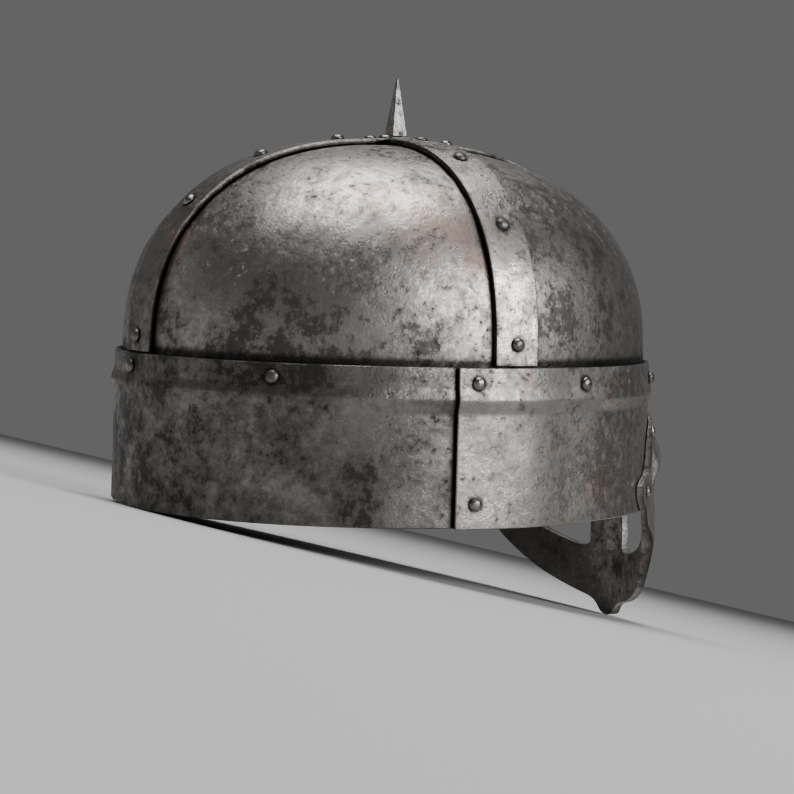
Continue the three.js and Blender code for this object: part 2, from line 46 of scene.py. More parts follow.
# The camera looks at the level helmet from the wearer's right and a little behind. Angles are in
# degrees. The aim is a point above the middle of the rim, moved along the picture's own axes.
CAMERA_TURN = 30.3834
CAMERA_RISE = 3.7991
CAMERA_ROLL = 1.8454
CAMERA_AIM_UP = 80.0
CAMERA_AIM_MOVE = (2.8878, -36.927)
CAMERA_DISTANCE = 972.763
CAMERA_SENSOR = 36.0
CAMERA_LENS = 105.007

# Plan of the brow band's outer face at the rim
HALF_LENGTH = 115.0
HALF_WIDTH = 99.6
PLAN_CENTRE_Y = 1.4
RIM_POWER = 2.05

# Brow band
BROW_HEIGHT = 61.4
BROW_TAPER = 0.5
BROW_THICKNESS = 2.3
RIDGE_LOW = 43.8
RIDGE_CREST = 49.2
RIDGE_HIGH = 53.2
RIDGE_RISE = 1.6
RIDGE_LEAN = 0.4

# Lap of the front length over the rear one, as distances along the rim from the front centre
LAP_FRONT_END = 194.5
LAP_REAR_END = 172.0
LAP_LIFT_START = 138.0
LAP_LIFT_FULL = 166.0

# Dome
DOME_INSET = 2.98
DOME_PLAN_POWER = 2.075
DOME_RISE = 86.7
DOME_POWER_UP = 2.37
DOME_POWER_OUT = 2.45
PLATE_THICKNESS = 1.8
PLATE_HALF_SPLIT = 0.6
PLATE_TUCK = 11.0
PLATE_TOP_SHARE = 0.07
DOME_HALF_LENGTH = HALF_LENGTH - BROW_TAPER - DOME_INSET
DOME_HALF_WIDTH = HALF_WIDTH - BROW_TAPER - DOME_INSET

# Crossing bands
BAND_WIDTH = 19.1
BAND_THICKNESS = 2.3
CROSSING_FLAT = 10.4
CROSSING_END = 17.0
CROSSING_SIDE_THICKNESS = 1.0
CROSSING_CREST_THICKNESS = 1.1
MOUND_RISE = 0.9
MOUND_SPREAD = 6.0

# Spike
SPIKE_BASE = 7.0
SPIKE_TIP = 0.9
SPIKE_HEIGHT = 24.0
SPIKE_LEVELS = 13
SPIKE_EDGE_ROUND = 0.25

# Eye guard
GUARD_THICKNESS = 2.9
GUARD_MARGIN_THICKNESS = 1.5
GUARD_MARGIN = 5.5
GUARD_MARGIN_SLOPE = 3.0
GUARD_BROW_RISE = 2.8
GUARD_RING_RISE = 2.3
GUARD_SIDE_TUCK = 0.2
GUARD_END = 86.5
ROLL_DEPTH = 14.5
RING_START = (20.0, 40.0)
RING_END = 64.0
ROLL_SPREAD = 5.0
RING_DROP = 14.0
RING_SPREAD = 14.0
ARM_START = 66.0
ARM_WHOLE = 72.0
ARM_FLAT = 74.0
NOSE_HALF_WIDTH = 11.8
NOSE_EXTRA_THICKNESS = 0.6
NOSE_LEAD = 2.9
NOSE_LEAD_DROP = 13.0
NOSE_LEAD_SPREAD = 26.0
NOSE_SPREAD = 14.0
NOSE_DEPTHS = (-10.0, 5.0)
NOSE_TIP_FLARE = 1.1
NOSE_TIP_SPREAD = 7.0
NOSE_TIP_DROP = (49.5, 53.5)

# Rivets
RIVET_RADIUS = 2.7
RIVET_HEIGHT = 2.0
SMALL_RIVET_RADIUS = 2.2
SMALL_RIVET_HEIGHT = 1.6
CROSSING_RIVET_HEIGHT = 1.4

GAP = 0.35
EDGE_ROUND = 0.55
SHARPEST_ANGLE = math.radians(40)

# Outline of the eye guard and of its eye opening: (distance along the face, height)
GUARD_LOWER_EDGE = [
    (0, -55.6), (2.6, -55.2), (4.5, -53.9), (6.2, -51.9), (8.2, -50.1), (11, -48.8), (19, -46.6),
    (27, -43.9), (36, -40.1), (44.5, -35.2), (53, -29), (60, -22.5), (68, -10), (75, -4), (80, 1),
    (84, 4), (86.5, 7),
]
GUARD_UPPER_EDGE = [
    (0, 31), (14, 36), (30, 39), (46, 38.5), (58, 35.8), (66, 33), (70, 28), (72, 21), (77, 15.6),
    (83, 13.6), (86.5, 11.2),
]
EYE_CORNER = 51.0
EYE_LOWER_EDGE = [
    (11.8, -24.2), (14.5, -25.7), (20, -25.3), (27, -23.6), (37.5, -20.1), (45, -15.6), (49, -11.8),
    (51, -8.8),
]
EYE_UPPER_EDGE = [(11.8, -4.6), (14.5, -3.2), (30, -1.6), (42, -2.4), (48, -4.4), (51, -7.2)]

# Rivet places
CREST_RIVET_ANGLES = [3.4, 33, 52.2, 73.2]
SIDE_RIVET_ANGLES = [5.2, 33, 57.2]
CROSSING_RIVET = (6.2, 8.6)
BROW_RIVETS = [(64.8, 54.8), (132.8, 55), (186.6, 55.5), (186.6, 9.5), (265.8, 56)]
FRONT_RIVET_UP = 54.8
REAR_RIVET_TO_LEFT = 2.6
REAR_RIVET_UP = 56.0
GUARD_RIVETS = [(59, 32.2), (80.2, 8.8)]
GUARD_MIDDLE_RIVET_UP = 27.0

# Dark stains and rust on the wearer's right: (x, y, z, radius, strength). The broad dark patches
# low on the rear brow band are painted shade as well as stains.
STAINS_AND_SHADE = [
    (-30, 112, 20, 46, 1.0), (-60, 85, 68, 30, 1.1), (-60, 80, 100, 12, 0.8), (-15, 90, 120, 8, 0.8),
    (-60, 25, 133, 6, 1.1), (-80, 45, 106, 5, 0.8), (-90, 35, 68, 10, 0.7), (-85, -15, 107, 11, 1.1),
    (-75, -50, 105, 13, 1.2), (-85, -50, 80, 13, 1.1), (-94, -24, 80, 14, 1.0), (-40, 108, 32, 14, 1.3),
    (-5, 116, 22, 10, 1.2), (-85, 60, 20, 10, 0.9), (-65, 85, 35, 18, 0.8), (-85, 62, 8, 10, 0.8),
    (-88, 0, 112, 15, 0.9), (-60, 0, 138, 14, 0.8), (-96, -30, 39, 5, 0.9), (-70, -80, 20, 8, 0.7),
    (-35, 92, 106, 20, 0.8), (28, -110, -34, 10, 0.9), (-8, -116, -32, 5, 0.9),
]
RUST = [
    (-78, 28, 116, 20, 0.8), (-88, 15, 100, 10, 0.7), (-8, 102, 110, 11, 0.8), (-10, 40, 147, 9, 0.6),
    (-92, -45, 16, 9, 1.0), (-90, -55, 50, 8, 0.7), (-101, -5, 55, 5, 0.6), (-63, 42, 127, 16, 0.6),
]


def add_camera():
    turn = math.radians(CAMERA_TURN)
    rise = math.radians(CAMERA_RISE)
    roll = math.radians(CAMERA_ROLL)
    toward = Vector(
        (-math.cos(turn) * math.cos(rise), math.sin(turn) * math.cos(rise), math.sin(rise))
    )
    level = Vector((-math.sin(turn), -math.cos(turn), 0.0))
    upright = toward.cross(level)
    right = math.cos(roll) * level + math.sin(roll) * upright
    up = math.cos(roll) * upright - math.sin(roll) * level
    aim = Vector((0.0, 0.0, CAMERA_AIM_UP))
    aim += CAMERA_AIM_MOVE[0] * right + CAMERA_AIM_MOVE[1] * up
    place = aim + CAMERA_DISTANCE * toward
    axes = Matrix((right, up, toward)).transposed().to_4x4()
    data = bpy.data.cameras.new("camera")
    data.sensor_width = CAMERA_SENSOR
    data.lens = CAMERA_LENS
    data.clip_start = 0.02
    camera = bpy.data.objects.new("camera", data)
    bpy.context.scene.collection.objects.link(camera)
    tip = Matrix.Rotation(-REST_TILT, 4, "X")
    resting = Matrix.Translation(Vector(REST_SHIFT)) @ tip @ Matrix.Translation(place) @ axes
    resting.translation *= 0.001
    camera.matrix_world = resting
    bpy.context.scene.camera = camera


def ease(value, start, end):
    t = np.clip((value - start) / (end - start), 0.0, 1.0)
    return t * t * (3.0 - 2.0 * t)


def bell(value, middle, spread):
    return np.exp(-(((value - middle) / spread) ** 2))


# Height on a smooth curve through a table's points, never overshooting them.
def height_at(table, along):
    xs = np.array([row[0] for row in table], float)
    ys = np.array([row[1] for row in table], float)
    secant = np.diff(ys) / np.diff(xs)
    before, after = secant[:-1], secant[1:]
    same = before * after > 0
    total = np.where(same, before + after, 1.0)
    middle = np.where(same, 2.0 * before * after / total, 0.0)
    slope = np.concatenate([secant[:1], middle, secant[-1:]])
    at = np.clip(np.asarray(along, float), xs[0], xs[-1])
    i = np.clip(np.searchsorted(xs, at, side="right") - 1, 0, len(xs) - 2)
    width = xs[i + 1] - xs[i]
    t = (at - xs[i]) / width
    start = ys[i] * (1 + 2 * t) * (1 - t) ** 2 + slope[i] * width * t * (1 - t) ** 2
    end = ys[i + 1] * (3 - 2 * t) * t**2 - slope[i + 1] * width * (1 - t) * t**2
    return start + end


def plan_point(turn, half_length, half_width, power, z):
    across = np.abs(np.sin(turn)) ** power
    forward = np.abs(np.cos(turn)) ** power
    reach = (across + forward) ** (-1.0 / power)
    x = -half_width * reach * np.sin(turn)
    y = PLAN_CENTRE_Y - half_length * reach * np.cos(turn)
    return np.stack(np.broadcast_arrays(x, y, z), -1)


def wall_point(turn, z):
    taper = BROW_TAPER * np.maximum(z, 0) / BROW_HEIGHT
    tuck = GUARD_SIDE_TUCK * np.maximum(-z, 0)
    return plan_point(turn, HALF_LENGTH - taper, HALF_WIDTH - taper - tuck, RIM_POWER, z)


def off_wall(turn, z, out):
    along = wall_point(turn + 0.002, z) - wall_point(turn - 0.002, z)
    up = wall_point(turn, z + 0.05) - wall_point(turn, z - 0.05)
    normal = np.cross(up, along)
    normal /= np.linalg.norm(normal, axis=-1, keepdims=True)
    return wall_point(turn, z) + normal * np.asarray(out)[..., None]


# The turn at which a distance along the face is reached, by heights below and above the rim.
TURNS = np.linspace(0.0, math.pi, 3001)
TURN_LEVELS = np.linspace(-60.0, 65.0, 126)
TURN_LENGTHS = []
for level in TURN_LEVELS:
    steps = np.linalg.norm(np.diff(wall_point(TURNS, level), axis=0), axis=-1)
    TURN_LENGTHS.append(np.concatenate([[0.0], np.cumsum(steps)]))


def turn_at(along, z):
    along, z = np.broadcast_arrays(np.asarray(along, float), np.asarray(z, float))
    result = np.empty(along.shape)
    level = (z - TURN_LEVELS[0]) / (TURN_LEVELS[1] - TURN_LEVELS[0])
    low = np.clip(np.floor(level).astype(int), 0, len(TURN_LEVELS) - 2)
    share = level - low
    for n in np.unique(low):
        here = low == n
        lower = np.interp(np.abs(along[here]), TURN_LENGTHS[n], TURNS)
        upper = np.interp(np.abs(along[here]), TURN_LENGTHS[n + 1], TURNS)
        result[here] = lower + (upper - lower) * share[here]
    return np.sign(along) * result


RIM_LENGTHS = TURN_LENGTHS[int(np.argmin(np.abs(TURN_LEVELS)))]
HALF_GIRTH = RIM_LENGTHS[-1]


def rim_turn(along):
    along = np.asarray(along, float)
    past = along > HALF_GIRTH
    near = np.where(past, 2 * HALF_GIRTH - along, along)
    turn = np.sign(near) * np.interp(np.abs(near), RIM_LENGTHS, TURNS)
    return np.where(past, 2 * math.pi - turn, turn)


def dome_measure(p):
    across = np.abs(p[..., 0] / DOME_HALF_WIDTH) ** DOME_PLAN_POWER
    forward = np.abs((p[..., 1] - PLAN_CENTRE_Y) / DOME_HALF_LENGTH) ** DOME_PLAN_POWER
    up = np.maximum(p[..., 2] - BROW_HEIGHT, 0) / DOME_RISE
    return (across + forward) ** (DOME_POWER_OUT / DOME_PLAN_POWER) + up**DOME_POWER_UP


def dome_normal(p):
    parts = []
    for axis in range(3):
        step = np.zeros(3)
        step[axis] = 0.01
        parts.append(dome_measure(p + step) - dome_measure(p - step))
    normal = np.stack(parts, -1)
    return normal / np.linalg.norm(normal, axis=-1, keepdims=True)


def dome_point(direction, beside, out):
    centre = np.array([0.0, 0.0, BROW_HEIGHT]) + beside
    near = np.zeros(direction.shape[:-1])
    far = np.full(direction.shape[:-1], 2 * HALF_LENGTH)
    for _ in range(44):
        middle = (near + far) / 2
        outside = dome_measure(centre + direction * middle[..., None]) > 1
        far = np.where(outside, middle, far)
        near = np.where(outside, near, middle)
    point = centre + direction * near[..., None]
    return point + dome_normal(point) * np.asarray(out)[..., None]


def crest_point(angle, across, out):
    angle, across, out = np.broadcast_arrays(angle, across, out)
    beside = np.stack([across, np.full(across.shape, PLAN_CENTRE_Y), np.zeros(across.shape)], -1)
    direction = np.stack([np.zeros(angle.shape), -np.cos(angle), np.sin(angle)], -1)
    return dome_point(direction, beside, out)


def side_point(angle, across, out):
    angle, across, out = np.broadcast_arrays(angle, across, out)
    beside = np.stack([np.zeros(across.shape), across, np.zeros(across.shape)], -1)
    direction = np.stack([-np.cos(angle), np.zeros(angle.shape), np.sin(angle)], -1)
    return dome_point(direction, beside, out)


# Broad and small waves of the hammering: waves per millimetre and share of the strength
HAMMER_BROAD = (0.024, 0.75)
HAMMER_SMALL = (0.085, 0.3)


# Hand-hammered unevenness, in millimetres along a face's normal.
def hammered(points, normals, strength, seed):
    moved = points.copy()
    for n, (p, normal) in enumerate(zip(points, normals)):
        at = Vector(p)
        broad = noise.noise(at * HAMMER_BROAD[0] + Vector((seed, 0, 0)))
        small = noise.noise(at * HAMMER_SMALL[0] + Vector((0, seed, 0)))
        moved[n] = p + normal * strength * (HAMMER_BROAD[1] * broad + HAMMER_SMALL[1] * small)
    return moved


def to_row(points):
    c, s = math.cos(REST_TILT), math.sin(REST_TILT)
    x = points[:, 0]
    y = points[:, 1] * c + points[:, 2] * s
    z = -points[:, 1] * s + points[:, 2] * c
    return (np.stack([x, y, z], -1) + np.array(REST_SHIFT)) / 1000.0


# Strength of the patches in a table at each point. The wearer's left has the same ones, moved a bit
# so that the two sides differ.
def patches(table, points):
    total = np.zeros(len(points))
    for x, y, z, radius, strength in table:
        for centre in ((x, y, z), (-x, 0.9 * y + 6.0, z + 3.0)):
            gap = np.linalg.norm(points - np.array(centre), axis=-1)
            total = np.maximum(total, strength * np.exp(-((gap / radius) ** 2)))
    return total


# Makes an object of level points in millimetres. The level points stay on the mesh as the
# attribute "level", which the materials read. "edge" tells how near a free edge a point is, the
# painted shade attribute how dark a point is painted in joints, round rivets, on side walls and on
# inner faces, and "stain" and "rust" where those patches are.
def add_mesh(name, points, faces, material, edge=None, painted_shade=None):
    mesh = bpy.data.meshes.new(name)
    mesh.from_pydata(to_row(points).tolist(), [], faces)
    level = mesh.attributes.new("level", "FLOAT_VECTOR", "POINT")
    level.data.foreach_set("vector", (points / 100.0).astype(np.float32).ravel())
    # The stain patches are partly painted shade, low on the rear brow band
    stain, rust = patches(STAINS_AND_SHADE, points), patches(RUST, points)
    for word, values in (("edge", edge), ("painted_shade", painted_shade), ("stain", stain), ("rust", rust)):
        if values is None:
            values = np.zeros(len(points))
        made = mesh.attributes.new(word, "FLOAT", "POINT")
        made.data.foreach_set("value", np.asarray(values, np.float32))
    mesh.materials.append(material)
    mesh.polygons.foreach_set("use_smooth", [True] * len(mesh.polygons))
    obj = bpy.data.objects.new(name, mesh)
    bpy.context.scene.collection.objects.link(obj)
    return obj


def round_edges(obj, width, segments=3):
    bevel = obj.modifiers.new("rounded", "BEVEL")
    bevel.width = width / 1000.0
    bevel.segments = segments
    bevel.limit_method = "ANGLE"
    bevel.angle_limit = SHARPEST_ANGLE
    bevel.harden_normals = False
    weighted = obj.modifiers.new("normals", "WEIGHTED_NORMAL")
    weighted.keep_sharp = True


# A curved sheet with thickness, from grids of outer and inner points. metal tells which cells are
# solid. Every free edge gets its side wall. The three painted shade arguments give painted shade on
# the outer face, on its free edges, and on the inner face and the side walls below those edges.
def sheet(
    name, outer, inner, material, metal=None, strength=0.35, seed=0.0, edge_width=7.0, shade_mask=0.0,
    lip_shade=0.3, wall_shade=1.0,
):
    columns, rows = outer.shape[:2]
    if metal is None:
        metal = np.ones((columns - 1, rows - 1), bool)
    thick = outer - inner
    thick /= np.maximum(np.linalg.norm(thick, axis=-1, keepdims=True), 1e-9)
    flat_normals = thick.reshape(-1, 3)
    outer_points = outer.reshape(-1, 3)
    shift = hammered(outer_points, flat_normals, strength, seed) - outer_points
    points = np.concatenate([outer_points + shift, inner.reshape(-1, 3) + shift])
    half = columns * rows
    at = np.arange(half).reshape(columns, rows)
    used = np.zeros((columns, rows), bool)
    faces = []
    rim = []
    solid = np.pad(metal, 1)
    for i in range(columns - 1):
        for j in range(rows - 1):
            if not metal[i, j]:
                continue
            a, b, c, d = at[i, j], at[i, j + 1], at[i + 1, j + 1], at[i + 1, j]
            used[i : i + 2, j : j + 2] = True
            faces.append((a, b, c, d))
            faces.append((a + half, d + half, c + half, b + half))
            if not solid[i + 1, j]:
                faces.append((a, d, d + half, a + half))
                rim += [a, d]
            if not solid[i + 1, j + 2]:
                faces.append((b + half, c + half, c, b))
                rim += [b, c]
            if not solid[i, j + 1]:
                faces.append((a + half, b + half, b, a))
                rim += [a, b]
            if not solid[i + 2, j + 1]:
                faces.append((d, c, c + half, d + half))
                rim += [c, d]

    # Distance of each point to the nearest free edge
    tree = KDTree(len(rim))
    for n in rim:
        tree.insert(Vector(points[n]), n)
    tree.balance()
    gap = np.array([tree.find(Vector(p))[2] for p in points[:half]])
    closeness = np.clip(1.0 - gap / edge_width, 0.0, 1.0)
    edge = np.concatenate([closeness, closeness])

    # Painted shade on the outer face, round the rivets and along the free edges
    on_face = np.maximum(rivet_shade(points[:half]), np.broadcast_to(shade_mask, (columns, rows)).ravel())
    lip_shades = np.broadcast_to(lip_shade, (columns, rows)).ravel()
    rim = np.unique(rim)
    on_face[rim] = np.maximum(on_face[rim], lip_shades[rim])
    painted_shade = np.concatenate([on_face, np.full(half, wall_shade)])

    # Points that no face uses are left out, and the faces are turned outward.
    keep = np.concatenate([used.ravel(), used.ravel()])
    number = np.cumsum(keep) - 1
    faces = [tuple(int(number[v]) for v in face) for face in faces]
    points, edge, painted_shade = points[keep], edge[keep], painted_shade[keep]
    volume = 0.0
    for a, b, c, d in faces:
        volume += np.dot(points[a], np.cross(points[b], points[c]))
        volume += np.dot(points[a], np.cross(points[c], points[d]))
    if volume < 0:
        faces = [face[::-1] for face in faces]
    obj = add_mesh(name, points, faces, material, edge, painted_shade)
    round_edges(obj, EDGE_ROUND)
    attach(obj, "root")
    return obj


# Foot and radius of every rivet, filled in before the sheets are made
RIVET_FEET = []

# How far painted shade reaches from a joint: beside the crest band, beside the side band, round a
# rivet, and two reaches above the brow band
CREST_SHADE_REACH = 0.5
SIDE_SHADE_REACH = 0.75
RIVET_SHADE_REACH = 1.3
BROW_SHADE_REACH = (2.2, 9.0)
LAP_SHADE_REACH = 1.2


# Painted shade in a ring round each rivet
def rivet_shade(points):
    nearest = np.full(len(points), np.inf)
    for foot, radius in RIVET_FEET:
        nearest = np.minimum(nearest, np.linalg.norm(points - foot, axis=-1) - radius)
    return 0.8 * np.exp(-np.maximum(nearest, 0) / RIVET_SHADE_REACH)


# Painted shade on the plates along the bands' edges and along the brow band's top edge
def plate_shade(points):
    half = BAND_WIDTH / 2
    beside_crest = np.maximum(np.abs(points[..., 0]) - half, 0)
    beside_side = np.maximum(np.abs(points[..., 1]) - half, 0)
    above = np.maximum(points[..., 2] - BROW_HEIGHT, 0)
    band = np.maximum(np.exp(-beside_crest / CREST_SHADE_REACH), np.exp(-beside_side / SIDE_SHADE_REACH))
    brow = 0.75 * np.exp(-above / BROW_SHADE_REACH[0]) + 0.3 * np.exp(-above / BROW_SHADE_REACH[1])
    return np.maximum(band, brow)


# Noise in the iron: (scale in waves per 100 mm, detail, roughness)
BROAD = (1.9, 3.0, 0.5)
BLOTCH = (7.0, 12.0, 0.72)
GRAIN = (26.0, 8.0, 0.8)
PEEL = (52.0, 3.0, 0.55)
FINE = (120.0, 2.0, 0.5)
RUSTY = (4.2, 8.0, 0.7)

# Shares of the noises in the mottle, and what a patch from the stain table, part stain and part
# painted shade, adds to it
BLOTCH_SHARE = 0.54
GRAIN_SHARE = 0.46
BROAD_SHARE = 0.3
STAIN_SHARE = 0.1

BUMP_STRENGTH = 0.55
BUMP_DISTANCE = 0.0005


# Patinated iron: mottled grey with clustered dark stains, faint rust and pits, edges rubbed
# brighter, and painted shade over joints, rivet feet and side walls. The pattern is laid in the
# level helmet's own coordinates.
def iron(name, light, dark, rust, stain, rough, seed):
    material = bpy.data.materials.new(name)
    material.use_nodes = True
    nodes = material.node_tree.nodes
    links = material.node_tree.links
    shader = nodes["Principled BSDF"]
    shader.inputs["Metallic"].default_value = 1.0
    place = nodes.new("ShaderNodeAttribute")
    place.attribute_name = "level"
    shifted = nodes.new("ShaderNodeMapping")
    shifted.inputs["Location"].default_value = (seed, seed * 0.7, seed * 0.3)
    links.new(place.outputs["Vector"], shifted.inputs["Vector"])

    def cloud(scale, detail, roughness):
        made = nodes.new("ShaderNodeTexNoise")
        made.inputs["Scale"].default_value = scale
        made.inputs["Detail"].default_value = detail
        made.inputs["Roughness"].default_value = roughness
        links.new(shifted.outputs["Vector"], made.inputs["Vector"])
        return made.outputs["Fac"]

    def ramp(source, start, end, low=0.0, high=1.0):
        made = nodes.new("ShaderNodeMapRange")
        made.interpolation_type = "SMOOTHSTEP"
        made.inputs["From Min"].default_value = start
        made.inputs["From Max"].default_value = end
        made.inputs["To Min"].default_value = low
        made.inputs["To Max"].default_value = high
        links.new(source, made.inputs["Value"])
        return made.outputs["Result"]

    def combine(kind, first, second):
        made = nodes.new("ShaderNodeMath")
        made.operation = kind
        for socket, value in ((made.inputs[0], first), (made.inputs[1], second)):
            if isinstance(value, (int, float)):
                socket.default_value = value
            else:
                links.new(value, socket)
        return made.outputs["Value"]

    def weigh(source, share):
        return combine("MULTIPLY", source, share)

    def mix(factor, first, second):
        made = nodes.new("ShaderNodeMix")
        made.data_type = "RGBA"
        links.new(factor, made.inputs["Factor"])
        for socket, value in ((made.inputs["A"], first), (made.inputs["B"], second)):
            if isinstance(value, tuple):
                socket.default_value = (*value, 1.0)
            else:
                links.new(value, socket)
        return made.outputs["Result"]

    def read(word):
        made = nodes.new("ShaderNodeAttribute")
        made.attribute_name = word
        return made.outputs["Fac"]

    broad, blotch, grain = cloud(*BROAD), cloud(*BLOTCH), cloud(*GRAIN)
    peel, fine, rusty = cloud(*PEEL), cloud(*FINE), cloud(*RUSTY)

    # The mottle is high where the iron is dark. Its highest parts are stains.
    mottle = combine("ADD", weigh(blotch, BLOTCH_SHARE), weigh(grain, GRAIN_SHARE))
    mottle = combine("ADD", mottle, weigh(combine("SUBTRACT", broad, 0.5), BROAD_SHARE))
    mottle = combine("ADD", mottle, weigh(read("stain"), STAIN_SHARE))
    tone = ramp(mottle, 0.4, 0.58)
    start = 0.6 - 0.045 * stain
    stains = ramp(mottle, start - 0.005, start + 0.05)
    specks = combine("MULTIPLY", ramp(grain, 0.57, 0.66), ramp(mottle, 0.44, 0.56, 0.1, 0.8))

    # Colours, from the clean iron to the stains over it, with painted shade laid last
    darkest = tuple(0.3 * channel for channel in dark)
    body = mix(tone, light, dark)
    stained = mix(weigh(stains, 0.8), body, darkest)
    specked = mix(weigh(specks, 0.85 * stain), stained, darkest)
    brown = tuple(channel * share for channel, share in zip(light, (0.95, 0.74, 0.68)))
    everywhere = weigh(ramp(rusty, 0.56, 0.68), rust)
    placed = combine("MULTIPLY", read("rust"), ramp(blotch, 0.4, 0.55))
    rust_share = combine("ADD", everywhere, placed)
    tinted = mix(combine("MINIMUM", rust_share, 0.9), specked, brown)
    wear = combine("MULTIPLY", ramp(read("edge"), 0.85, 1.0), ramp(blotch, 0.62, 0.4))
    bright = tuple(min(1.0, 1.4 * channel) for channel in light)
    worn = mix(weigh(wear, 0.4), tinted, bright)
    # Painted shade: near black where the painted shade attribute is high, with a grainy edge
    shade_mask = combine("MULTIPLY", ramp(read("painted_shade"), 0.12, 0.75), ramp(grain, 0.35, 0.6, 0.9, 1.0))
    shaded = mix(shade_mask, worn, tuple(0.1 * channel for channel in dark))
    links.new(shaded, shader.inputs["Base Color"])

    roughness = ramp(mottle, 0.42, 0.6, rough - 0.04, rough + 0.2)
    roughness = combine("ADD", roughness, ramp(grain, 0.35, 0.65, -0.05, 0.06))
    links.new(roughness, shader.inputs["Roughness"])

    # Pits, small dents and a fine grain
    pits = ramp(grain, 0.57, 0.7, 0.0, -0.75)
    height = combine("ADD", weigh(peel, 0.4), weigh(fine, 0.3))
    height = combine("ADD", height, combine("ADD", pits, weigh(blotch, 2.0)))
    bump = nodes.new("ShaderNodeBump")
    bump.inputs["Strength"].default_value = BUMP_STRENGTH
    bump.inputs["Distance"].default_value = BUMP_DISTANCE
    links.new(height, bump.inputs["Height"])
    links.new(bump.outputs["Normal"], shader.inputs["Normal"])
    return material


# A warm grey of a given brightness
def grey(value):
    return (value, 0.955 * value, 0.905 * value)


# Every iron: name, light grey, dark grey, share of rust, strength of the stains, roughness and its
# place in the noise. The rear brow band and the crest band are a darker, shaded copy of the iron
# (painted shade), and the side band a lighter, lit copy (painted sheen).
PLATE_IRON = iron("iron_plate", grey(0.35), grey(0.18), 0.2, 0.95, 0.31, 0.0)
SHADED_CREST_IRON = iron("iron_crest_shaded", grey(0.2), grey(0.11), 0.6, 0.8, 0.38, 5.0)
LIT_BAND_IRON = iron("iron_band", grey(0.6), grey(0.28), 0.3, 0.5, 0.25, 3.0)
SHADED_BROW_IRON = iron("iron_brow_shaded", grey(0.2), grey(0.095), 0.2, 0.65, 0.32, 7.0)
FRONT_IRON = iron("iron_front", grey(0.34), grey(0.21), 0.5, 0.5, 0.31, 11.0)
GUARD_IRON = iron("iron_guard", grey(0.38), grey(0.22), 0.3, 0.7, 0.34, 17.0)
RIVET_IRON = iron("iron_rivet", grey(0.24), grey(0.11), 0.2, 0.5, 0.23, 23.0)
SPIKE_IRON = iron("iron_spike", grey(0.2), grey(0.1), 0.2, 0.5, 0.3, 29.0)


# Dome plates
def dome_plates():
    columns, rows, rows_tucked = 72, 64, 5
    last = math.acos(PLATE_TOP_SHARE ** (DOME_POWER_OUT / 2))
    angle = np.linspace(0, 1, rows) * last
    out = np.cos(angle) ** (2 / DOME_POWER_OUT)
    z = BROW_HEIGHT + DOME_RISE * np.sin(angle) ** (2 / DOME_POWER_UP)
    below = BROW_HEIGHT - PLATE_TUCK * np.linspace(1, 0, rows_tucked)[:-1]
    out = np.concatenate([np.ones(len(below)), out])
    z = np.concatenate([below, z])
    for rear in (False, True):
        split = PLATE_HALF_SPLIT if rear else -PLATE_HALF_SPLIT
        from_crest = np.arcsin(PLATE_HALF_SPLIT / (DOME_HALF_WIDTH * out))
        to_side = np.arccos((PLAN_CENTRE_Y - split) / (DOME_HALF_LENGTH * out))
        start = to_side if rear else from_crest
        end = math.pi - from_crest if rear else to_side
        across = np.linspace(0, 1, columns)[:, None]
        turn = start + (end - start) * across
        face = plan_point(turn, DOME_HALF_LENGTH * out, DOME_HALF_WIDTH * out, DOME_PLAN_POWER, z)
        normal = dome_normal(face)
        for word, side in (("right", 1), ("left", -1)):
            mirror = np.array([side, 1, 1])
            name = ("dome_plate_rear_" if rear else "dome_plate_front_") + word
            outer = face * mirror
            inner = (face - normal * PLATE_THICKNESS) * mirror
            # Painted shade along the bands and above the brow band
            shade_mask = plate_shade(outer)
            obj = sheet("fine_" + name, outer, inner, PLATE_IRON, strength=0.4, seed=2.0, shade_mask=shade_mask)
            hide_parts(name)


BAND_OUTER = GAP + BAND_THICKNESS
BAND_FOOT = 0.5
BAND_COLUMNS = 190
BAND_ROWS = 11


def crossing_share(distance):
    return 1 - ease(np.abs(distance), CROSSING_FLAT, CROSSING_END)


def side_outer(x):
    thin = GAP + CROSSING_SIDE_THICKNESS
    return BAND_OUTER + (thin - BAND_OUTER) * crossing_share(x)


def crest_inner(y):
    return GAP + (CROSSING_SIDE_THICKNESS + GAP) * crossing_share(y)


def crest_outer(y):
    crossing = GAP + CROSSING_SIDE_THICKNESS + GAP + CROSSING_CREST_THICKNESS
    mound = MOUND_RISE * bell(y, 0, MOUND_SPREAD)
    return BAND_OUTER + (crossing - BAND_OUTER) * crossing_share(y) + mound


def bands():
    foot = BAND_FOOT / DOME_HALF_LENGTH
    angle = np.linspace(foot, math.pi - foot, BAND_COLUMNS)[:, None]
    across = np.linspace(-BAND_WIDTH / 2, BAND_WIDTH / 2, BAND_ROWS)[None, :]
    y = crest_point(angle, across, 0.0)[..., 1]
    outer = crest_point(angle, across, crest_outer(y))
    inner = crest_point(angle, across, crest_inner(y))
    # Painted shade along the crest band's free edges
    crest = sheet("fine_crest_band", outer, inner, SHADED_CREST_IRON, strength=0.3, seed=5.0, lip_shade=0.25)
    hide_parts("crest_band")
    x = side_point(angle, across, 0.0)[..., 0]
    outer = side_point(angle, across, side_outer(x))
    inner = side_point(angle, across, np.full(x.shape, GAP))
    # Painted shade along the side band's free edges, heavier on its rear edge
    lip_shade = np.where(across > 0, 0.6, 0.25)
    side = sheet("fine_side_band", outer, inner, LIT_BAND_IRON, strength=0.3, seed=5.0, lip_shade=lip_shade)
    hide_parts("side_band")


